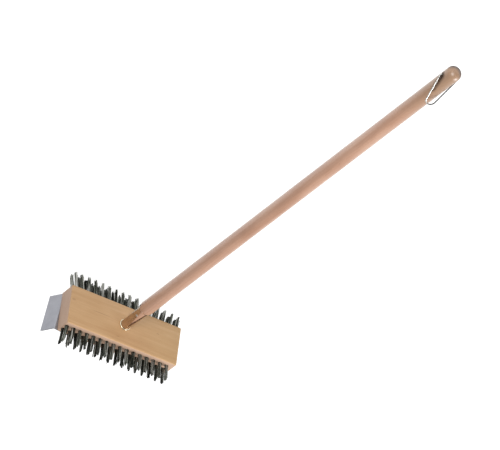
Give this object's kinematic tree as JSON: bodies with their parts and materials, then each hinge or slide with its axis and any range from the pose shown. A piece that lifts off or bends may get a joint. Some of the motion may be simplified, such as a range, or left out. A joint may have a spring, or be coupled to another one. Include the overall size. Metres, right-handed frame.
{
  "type": "grill cleaning brush",
  "caption": "Long-handled grill cleaning brush: hardwood block with steel wire tufts on both long sides, a bent steel scraper blade at its end and a hinged wire hanging bail.",
  "frame": {"origin": "centre of the head block's plain back face, opposite the handle", "axes": "+X along the head, with the scraper at -X; +Y along the handle from the head to the end of the grip; +Z across the head, through the upper tufts"},
  "size_m": [0.2376, 1.0726, 0.141],
  "materials": {
    "block_wood": "sanded, unvarnished hardwood",
    "handle_wood": "smooth turned hardwood, thin clear coat",
    "socket_steel": "rolled sheet steel with a warm tint",
    "bright_steel": "bright zinc-plated steel",
    "blade_steel": "satin cold-rolled steel",
    "tuft_wire": "dark tempered steel wire"
  },
  "bodies": {
    "brush": {"head_block": "block_wood", "handle": "handle_wood", "handle_socket": "socket_steel", "socket_collar": "socket_steel", "socket_nail_near": "bright_steel", "socket_nail_far": "bright_steel", "scraper_blade": "blade_steel", "scraper_screw_1": "bright_steel", "scraper_screw_2": "bright_steel", "scraper_screw_3": "bright_steel", "tufts_upper_outer_1": "tuft_wire", "tufts_upper_outer_2": "tuft_wire", "tufts_upper_outer_3": "tuft_wire", "tufts_upper_outer_4": "tuft_wire", "tufts_upper_inner_1": "tuft_wire", "tufts_upper_inner_2": "tuft_wire", "tufts_upper_inner_3": "tuft_wire", "tufts_upper_inner_4": "tuft_wire", "tufts_lower_outer_1": "tuft_wire", "tufts_lower_outer_2": "tuft_wire", "tufts_lower_outer_3": "tuft_wire", "tufts_lower_outer_4": "tuft_wire", "tufts_lower_inner_1": "tuft_wire", "tufts_lower_inner_2": "tuft_wire", "tufts_lower_inner_3": "tuft_wire", "tufts_lower_inner_4": "tuft_wire"},
    "bail": {"hang_bail": "bright_steel"}
  },
  "joints": [
    {"name": "bail_swing", "type": "hinge", "parent": "brush", "child": "bail", "pos_m": [0, 1.024, 0], "axis": [-1, 0, 0], "range_deg": [-2, 134]}
  ]
}
